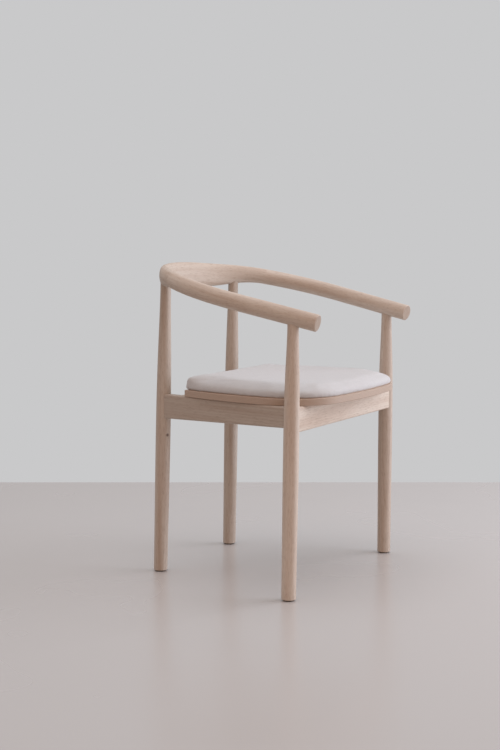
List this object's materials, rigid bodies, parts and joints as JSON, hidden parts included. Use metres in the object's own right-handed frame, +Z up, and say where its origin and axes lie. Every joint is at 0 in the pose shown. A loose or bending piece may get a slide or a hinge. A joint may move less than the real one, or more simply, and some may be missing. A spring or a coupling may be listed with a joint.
{
  "type": "wooden armchair",
  "caption": "Low-backed dining armchair with a horseshoe arm and back rail on round legs, and a padded seat on a plywood board",
  "frame": {"origin": "on the floor, at the middle of the chair's footprint box", "axes": "+Z up, -Y is the way the chair faces, +X is the sitter's left"},
  "size_m": [0.557, 0.489, 0.6972],
  "materials": {
    "pale_hardwood": "pale oiled or soaped hardwood, matt, fine straight grain",
    "inner_hardwood": "unfinished planed hardwood",
    "plywood": "clear-lacquered birch plywood with visible plies at its edge",
    "seat_cloth": "off-white woven wool cloth over foam",
    "glide_plastic": "dark brown moulded plastic",
    "plated_steel": "zinc-plated steel"
  },
  "bodies": {
    "root": {"front_leg_left": "pale_hardwood", "front_leg_right": "pale_hardwood", "rear_leg_left": "pale_hardwood", "rear_leg_right": "pale_hardwood", "crest": "pale_hardwood", "arm_left": "pale_hardwood", "arm_right": "pale_hardwood", "front_rail": "pale_hardwood", "rear_rail": "pale_hardwood", "side_rail_left": "pale_hardwood", "side_rail_right": "pale_hardwood", "arm_joint_tenons": "inner_hardwood", "front_block_left": "inner_hardwood", "front_block_right": "inner_hardwood", "rear_block_left": "inner_hardwood", "rear_block_right": "inner_hardwood", "seat_batten": "inner_hardwood", "seat_board": "plywood", "pad_base": "plywood", "seat_pad": "seat_cloth", "front_glide_left": "glide_plastic", "front_glide_right": "glide_plastic", "rear_glide_left": "glide_plastic", "rear_glide_right": "glide_plastic", "block_screws": "plated_steel", "seat_screws": "plated_steel", "pad_screws": "plated_steel", "pad_tnuts": "plated_steel", "glide_nails": "plated_steel"}
  },
  "joints": []
}
